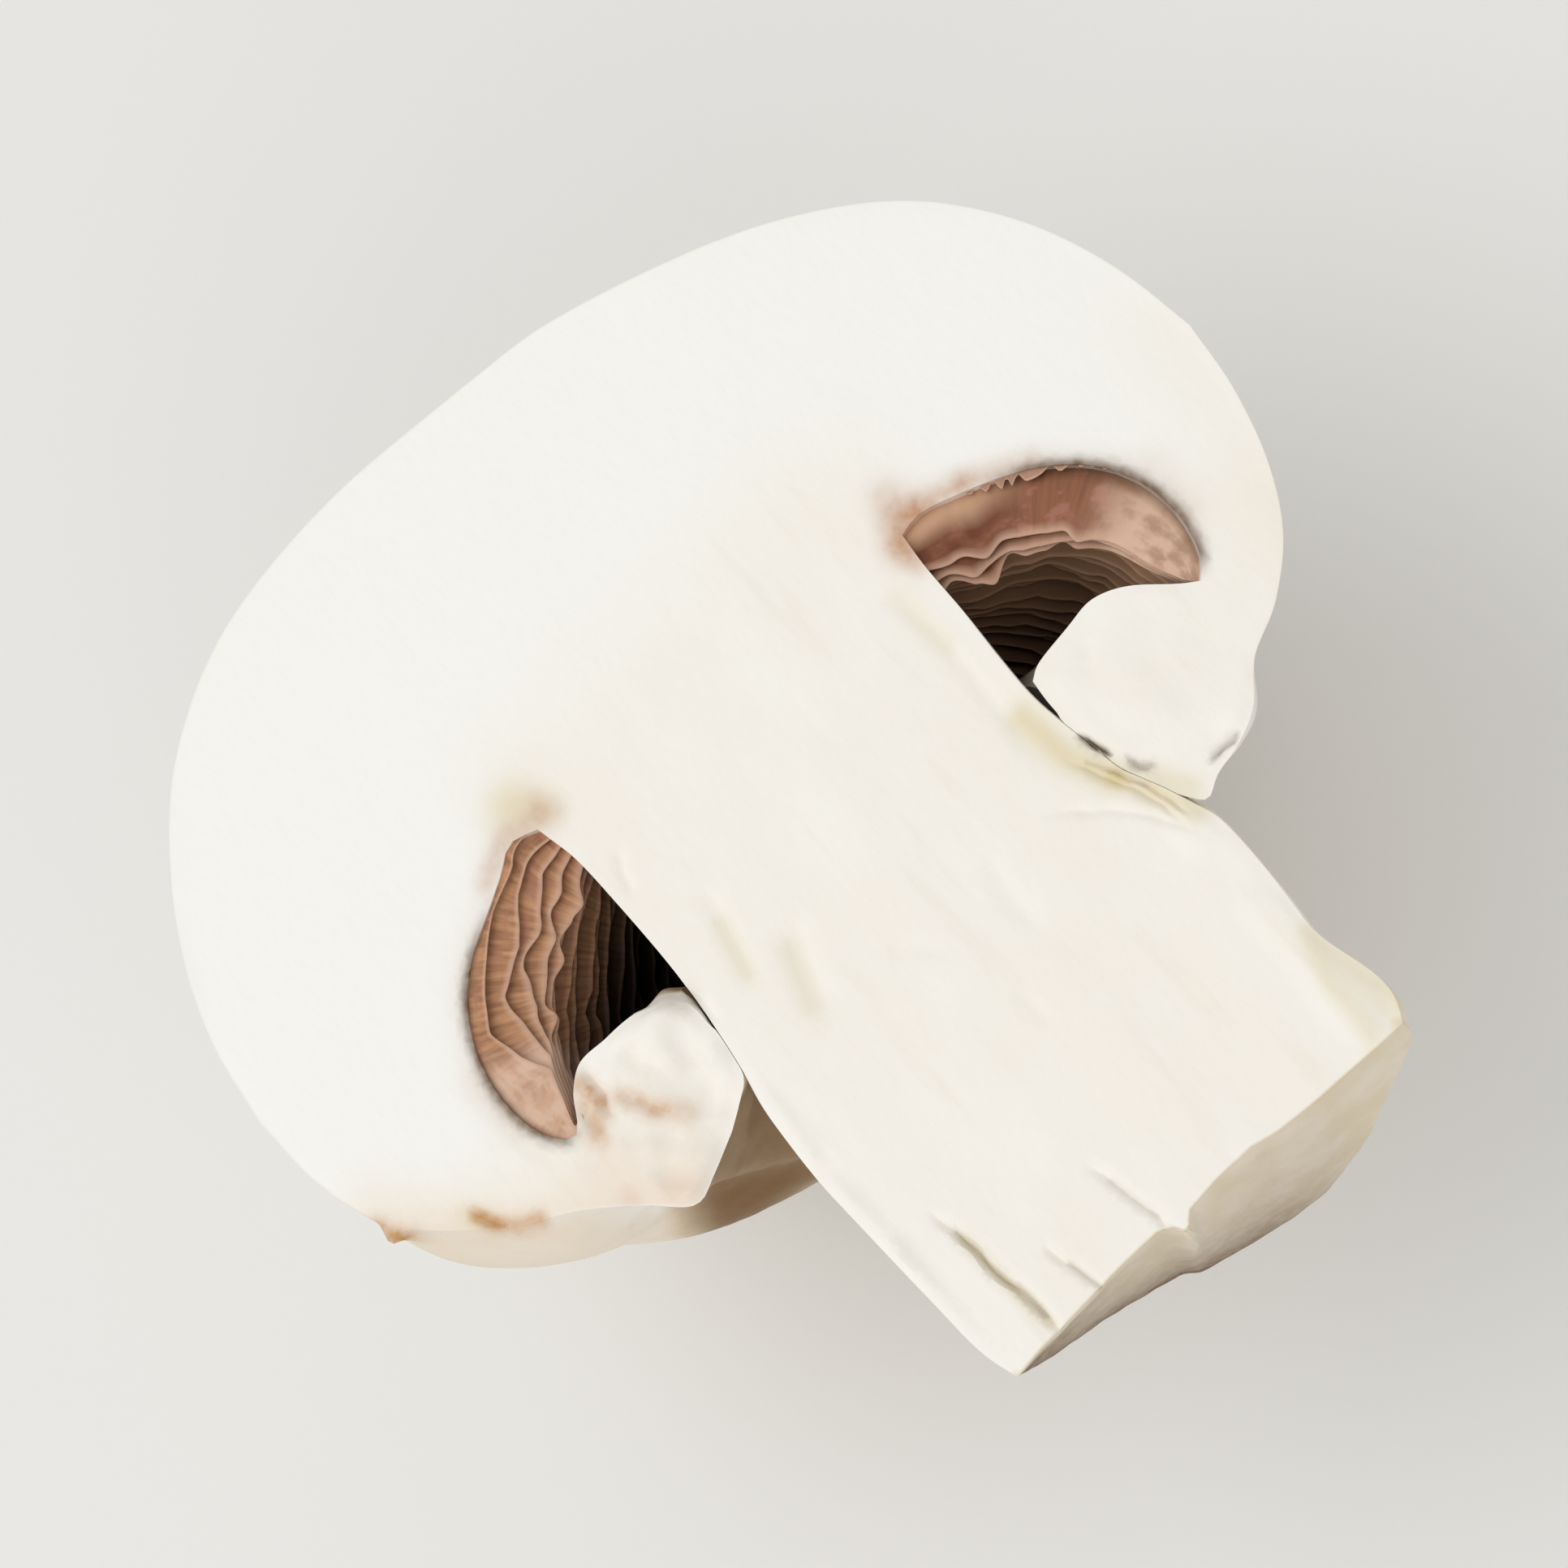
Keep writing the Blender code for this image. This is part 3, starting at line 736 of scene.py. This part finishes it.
def make_gills(material):
    points, faces, places = [], [], []
    count = 0
    for k in range(GILLS):
        blade, quads, place = make_blade(k)
        points.append(blade)
        faces += (quads + count).tolist()
        places.append(place)
        count += len(blade)
    points, place = np.vstack(points), np.vstack(places)
    along, number, across = place.T
    left = number > GILLS / 2
    pale = np.where(left, smoothstep(0.42, 0.30, along), smoothstep(0.5, 0.25, along))
    ruddy = np.where(left, 0.4 * smoothstep(0.85, 1.0, along), smoothstep(0.62, 0.8, along))
    root = np.where(left, 0.6 * smoothstep(0.7, 0.9, along), smoothstep(0.6, 0.85, along))
    root = smoothstep(0.55, 0.1, across) * root
    depth = -points[:, 2]
    return new_object("gills", points, faces, {
        "place": place * (GILL_LENGTH, 1, GILL_WIDTH),
        # Partly the gills' own paler free edge, partly a painted highlight: the edges lighten only within 3
        # mm of the cut, where light catches the front blades.
        "edge": smoothstep(0.86, 1.0, across) * smoothstep(3.0, 0.5, depth),
        "seam": smoothstep(0.2, 0.0, across) * smoothstep(0.75, 0.6, along),
        "root": root,
        "left": left.astype(float),
        "pale": pale,
        "ruddy": ruddy,
        "stub": (number == 0).astype(float),
        # Painted light: from 1.5 mm behind the cut the right blades turn a lighter brown, lifting the shade
        # that falls on them.
        "back": np.where(left, 0, smoothstep(1.5, 3.5, depth)),
        # Painted shade: the blades darken to near black the deeper they lie behind the cut, the left ones
        # sooner.
        "depth": np.where(left, smoothstep(1.0, 7.5, depth), smoothstep(5.0, 26.0, depth)),
    }, material)


# ---------------------------------------------------------------------------------------------------------
# Materials
# ---------------------------------------------------------------------------------------------------------

class Nodes:
    """Short calls for one material's nodes. An input is a number, a colour or another node's output."""

    def __init__(self, name):
        self.material = bpy.data.materials.new(name)
        self.material.use_nodes = True
        self.tree = self.material.node_tree
        self.shader = self.tree.nodes["Principled BSDF"]
        self.object_place = self.tree.nodes.new("ShaderNodeTexCoord").outputs["Object"]

    def feed(self, socket, value):
        if isinstance(value, bpy.types.NodeSocket):
            self.tree.links.new(value, socket)
        else:
            socket.default_value = value

    def attribute(self, name, output="Fac"):
        node = self.tree.nodes.new("ShaderNodeAttribute")
        node.attribute_name = name
        return node.outputs[output]

    def times(self, first, second):
        node = self.tree.nodes.new("ShaderNodeMath")
        node.operation = "MULTIPLY"
        node.use_clamp = True
        self.feed(node.inputs[0], first)
        self.feed(node.inputs[1], second)
        return node.outputs[0]

    def mix(self, share, first, second):
        node = self.tree.nodes.new("ShaderNodeMix")
        node.data_type = "RGBA"
        self.feed(node.inputs["Factor"], share)
        self.feed(node.inputs["A"], first)
        self.feed(node.inputs["B"], second)
        return node.outputs["Result"]

    def ramp(self, value, low, high, bottom=0.0, top=1.0):
        """bottom below low, top above high and smooth between."""
        node = self.tree.nodes.new("ShaderNodeMapRange")
        node.interpolation_type = "SMOOTHSTEP"
        self.feed(node.inputs["Value"], value)
        self.feed(node.inputs["From Min"], low)
        self.feed(node.inputs["From Max"], high)
        self.feed(node.inputs["To Min"], bottom)
        self.feed(node.inputs["To Max"], top)
        return node.outputs["Result"]

    def noise(self, size, stretch=(1, 1, 1), detail=3.0, place=None):
        """Noise with lumps of about the size, stretched along x, y and z: in millimetres without a place."""
        mapping = self.tree.nodes.new("ShaderNodeMapping")
        mapping.inputs["Scale"].default_value = [1 / s for s in stretch]
        self.feed(mapping.inputs["Vector"], place or self.object_place)
        node = self.tree.nodes.new("ShaderNodeTexNoise")
        node.inputs["Scale"].default_value = 1 / (size if place else size * MM)
        node.inputs["Detail"].default_value = detail
        self.feed(node.inputs["Vector"], mapping.outputs["Vector"])
        return node.outputs["Fac"]

    def bump(self, height, distance_mm):
        node = self.tree.nodes.new("ShaderNodeBump")
        node.inputs["Distance"].default_value = distance_mm * MM
        self.feed(node.inputs["Height"], height)
        return node.outputs["Normal"]


FLESH = (0.90, 0.90, 0.865, 1)
STEM_FLESH = (0.89, 0.85, 0.785, 1)
SKIN = (0.87, 0.825, 0.74, 1)
SKIN_TAN = (0.82, 0.735, 0.60, 1)
FLECK = (0.68, 0.55, 0.38, 1)
PEACH = (0.84, 0.72, 0.58, 1)
RIM_TAN = (0.62, 0.47, 0.31, 1)
UNDERSIDE_BROWN_AND_SHADE = (0.20, 0.105, 0.035, 1)
CUT_END = (0.70, 0.59, 0.42, 1)
BRUISE = (0.52, 0.27, 0.14, 1)
ROOF_LINE = (0.17, 0.10, 0.055, 1)
YELLOW = (0.72, 0.62, 0.38, 1)
STAIN = (0.54, 0.27, 0.09, 1)
CHAMBER_SHADE = (0.03, 0.018, 0.012, 1)


def flesh_material():
    m = Nodes("mushroom_flesh")
    skin, stem = m.attribute("skin"), m.attribute("stem")
    creamy = m.ramp(m.noise(4.0, (1, 2, 1)), 0.25, 0.7, 0.45, 1.0)
    colour = m.mix(m.times(stem, creamy), FLESH, STEM_FLESH)
    streaks = m.times(stem, m.ramp(m.noise(1.1, (1, 8, 1)), 0.56, 0.75, 0, 0.12))
    colour = m.mix(streaks, colour, CUT_END)
    outer = m.mix(m.ramp(m.noise(6.0), 0.4, 0.72), SKIN, SKIN_TAN)
    outer = m.mix(m.ramp(m.noise(1.3, detail=5), 0.62, 0.76, 0, 0.7), outer, FLECK)
    colour = m.mix(skin, colour, outer)
    strands = m.mix(m.ramp(m.noise(1.2, (1, 9, 1), 4), 0.42, 0.68), STEM_FLESH, SKIN_TAN)
    strands = m.mix(m.ramp(m.noise(2.2, (1, 3, 1), 4), 0.58, 0.75, 0, 0.6), strands, FLECK)
    colour = m.mix(m.attribute("bark"), colour, strands)
    colour = m.mix(m.times(m.attribute("peach"), 0.7), colour, PEACH)
    uneven = m.noise(2.5, detail=4)
    tan = m.ramp(m.attribute("underside_brown_and_shade"), m.ramp(uneven, 0.3, 0.7, 0, 0.2), 0.5, 0, 0.8)
    colour = m.mix(tan, colour, RIM_TAN)
    # Dark brown on the rim's underside: partly its own colour, partly painted shade beside the stem.
    brown = m.ramp(m.attribute("underside_brown_and_shade"), m.ramp(uneven, 0.3, 0.7, 0.2, 0.4), 1.0)
    colour = m.mix(brown, colour, UNDERSIDE_BROWN_AND_SHADE)
    colour = m.mix(m.times(m.attribute("end"), m.ramp(m.noise(2.5), 0.3, 0.7, 0.6, 0.9)), colour, CUT_END)
    blotched = m.ramp(m.noise(0.6, detail=3), 0.3, 0.7, 0.85, 1.1)
    colour = m.mix(m.attribute("yellow"), colour, YELLOW)
    colour = m.mix(m.times(m.attribute("bruise"), blotched), colour, BRUISE)
    speckled = m.ramp(m.noise(1.3, detail=4), 0.35, 0.62, 0.6, 1.1)
    colour = m.mix(m.times(m.attribute("stain"), speckled), colour, STAIN)
    # The line mask also holds painted shade on the left lobe's shoulder.
    colour = m.mix(m.times(m.attribute("line"), blotched), colour, ROOF_LINE)
    # Painted shade inside the gill chamber.
    colour = m.mix(m.attribute("chamber_shade"), colour, CHAMBER_SHADE)
    m.feed(m.shader.inputs["Base Color"], colour)
    m.feed(m.shader.inputs["Roughness"], m.ramp(skin, 0, 1, 0.62, 0.5))
    m.shader.inputs["Specular IOR Level"].default_value = 0.3
    grain = m.bump(m.noise(0.4, (1, 2, 1), detail=4), 0.03)
    m.feed(m.shader.inputs["Normal"], grain)
    return m.material


GILL_RUST = (0.29, 0.115, 0.058, 1)
GILL_BROWN = (0.19, 0.08, 0.042, 1)
GILL_LEFT = (0.54, 0.28, 0.145, 1)
GILL_RUDDY = (0.15, 0.045, 0.02, 1)
GILL_ROOT = (0.78, 0.50, 0.32, 1)
GILL_PINK = (0.42, 0.18, 0.13, 1)
GILL_PALE = (0.68, 0.46, 0.34, 1)
GILL_PALE_EDGE_AND_HIGHLIGHT = (0.70, 0.46, 0.34, 1)
GILL_PAINTED_LIGHT = (0.52, 0.30, 0.175, 1)
GILL_DEEP_SHADE = (0.02, 0.012, 0.007, 1)


def gill_material():
    m = Nodes("gills")
    place = m.attribute("place", "Vector")
    striped = m.noise(1.0, (0.35, 1.4, 3.0), place=place)
    blotched = m.noise(1.0, (1.8, 1.4, 0.8), place=place)
    stripes = m.ramp(striped, 0.3, 0.7, 0.35, 1.0)
    ridges = m.mix(m.attribute("left"), GILL_RUST, GILL_LEFT)
    colour = m.mix(stripes, GILL_BROWN, ridges)
    colour = m.mix(m.ramp(blotched, 0.52, 0.66, 0, 0.6), colour, GILL_PINK)
    colour = m.mix(m.times(m.attribute("ruddy"), m.ramp(blotched, 0.35, 0.6, 1.0, 0.5)), colour, GILL_RUDDY)
    colour = m.mix(m.times(m.attribute("pale"), m.ramp(blotched, 0.35, 0.6, 0.5, 1.0)), colour, GILL_PALE)
    colour = m.mix(m.attribute("root"), colour, GILL_ROOT)
    # The back tint is painted light on the deeper right blades.
    tints = [("seam", 0.8, ROOF_LINE), ("edge", 0.75, GILL_PALE_EDGE_AND_HIGHLIGHT), ("stub", 0.4, GILL_PALE_EDGE_AND_HIGHLIGHT),
             ("back", 0.9, GILL_PAINTED_LIGHT)]
    for name, share, tint in tints:
        colour = m.mix(m.times(m.attribute(name), share), colour, tint)
    # Painted shade on the deeper blades.
    colour = m.mix(m.attribute("depth"), colour, GILL_DEEP_SHADE)
    m.feed(m.shader.inputs["Base Color"], colour)
    m.shader.inputs["Roughness"].default_value = 0.6
    m.shader.inputs["Specular IOR Level"].default_value = 0.25
    return m.material


FLOOR_COOL = (0.79, 0.795, 0.79, 1)
FLOOR_WARM = (0.81, 0.81, 0.80, 1)


def floor_material():
    m = Nodes("floor")
    m.feed(m.shader.inputs["Base Color"], m.mix(m.noise(40), FLOOR_COOL, FLOOR_WARM))
    m.shader.inputs["Roughness"].default_value = 0.9
    m.shader.inputs["Specular IOR Level"].default_value = 0.1
    return m.material


# ---------------------------------------------------------------------------------------------------------
# Floor, lights and camera
# ---------------------------------------------------------------------------------------------------------

CAMERA_AZIMUTH = 10.5  # degrees round from the stem's end
CAMERA_ELEVATION = 64.0
CAMERA_ROLL = -52.5
CAMERA_DISTANCE = 0.60  # metres
SENSOR_WIDTH = 36
VIEW_WIDTH = 0.066  # metres that the picture takes in at that distance
VIEW_CENTRE = (-0.9, 28.1, -1.7)  # (x, a, n) at the middle of the picture
FLOOR_HALF = 2  # metres

LIGHT_TARGET = (0, 25, -10)  # (x, a, n)
# Soft round lights: name, place and diameter in metres, power in watts, colour.
LIGHTS = [
    ("key", (-0.45, 0.35, 0.75), 1.1, 3.5, (1, 0.99, 0.97)),
    ("fill", (-0.15, -0.7, 0.5), 0.9, 1.3, (1, 0.99, 0.98)),
]
WORLD_COLOUR = (1.0, 0.99, 0.97, 1)
WORLD_STRENGTH = 0.68


def make_floor():
    mesh = bpy.data.meshes.new("floor")
    corners = [(x * FLOOR_HALF, y * FLOOR_HALF, 0) for x, y in ((-1, -1), (1, -1), (1, 1), (-1, 1))]
    mesh.from_pydata(corners, [], [(0, 1, 2, 3)])
    mesh.materials.append(floor_material())
    floor = bpy.data.objects.new("floor", mesh)
    bpy.context.scene.collection.objects.link(floor)


def make_light(name, place, target, size, power, colour):
    light = bpy.data.lights.new(name, "AREA")
    light.shape = "DISK"
    light.size = size
    light.energy = power
    light.color = colour
    obj = bpy.data.objects.new(name, light)
    obj.location = place
    obj.rotation_euler = (Vector(target) - obj.location).to_track_quat("-Z", "Y").to_euler()
    bpy.context.scene.collection.objects.link(obj)


def make_camera():
    turn = (Matrix.Rotation(math.radians(CAMERA_AZIMUTH), 4, "Z")
            @ Matrix.Rotation(math.radians(90 - CAMERA_ELEVATION), 4, "X")
            @ Matrix.Rotation(math.radians(CAMERA_ROLL), 4, "Z"))
    target = Vector(ORIGIN + np.array(VIEW_CENTRE) * MM)
    camera = bpy.data.cameras.new("camera")
    camera.sensor_width = SENSOR_WIDTH
    camera.lens = SENSOR_WIDTH * CAMERA_DISTANCE / VIEW_WIDTH
    camera.clip_start = 0.01
    obj = bpy.data.objects.new("camera", camera)
    obj.matrix_world = Matrix.Translation(target + turn.col[2].xyz * CAMERA_DISTANCE) @ turn
    bpy.context.scene.collection.objects.link(obj)
    bpy.context.scene.camera = obj


def make_world():
    world = bpy.data.worlds.new("studio")
    world.use_nodes = True
    background = world.node_tree.nodes["Background"]
    background.inputs["Color"].default_value = WORLD_COLOUR
    background.inputs["Strength"].default_value = WORLD_STRENGTH
    bpy.context.scene.world = world


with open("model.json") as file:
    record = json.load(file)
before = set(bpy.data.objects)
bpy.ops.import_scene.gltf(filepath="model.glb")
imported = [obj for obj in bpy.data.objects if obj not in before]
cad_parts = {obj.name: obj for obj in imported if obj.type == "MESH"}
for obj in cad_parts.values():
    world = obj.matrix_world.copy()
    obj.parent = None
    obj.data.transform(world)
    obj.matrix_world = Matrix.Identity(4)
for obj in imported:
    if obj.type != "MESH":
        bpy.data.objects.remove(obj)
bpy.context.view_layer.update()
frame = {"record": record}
node_low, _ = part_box(NODE)
cut = next(m for m in frame["record"]["mounts"] if m["name"] == "cut_face")
ORIGIN = np.array([cut["pos_m"][0], node_low[1], cut["pos_m"][2]])
REST_DEPTH = (cut["pos_m"][2] - node_low[2]) / MM

for piece in (make_body(flesh_material()), make_gills(gill_material())):
    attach(piece, "root")
    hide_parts(NODE)

make_floor()
make_camera()
make_world()
for name, place, size, power, colour in LIGHTS:
    make_light(name, place, ORIGIN + np.array(LIGHT_TARGET) * MM, size, power, colour)
bpy.context.scene.view_settings.view_transform = "Standard"
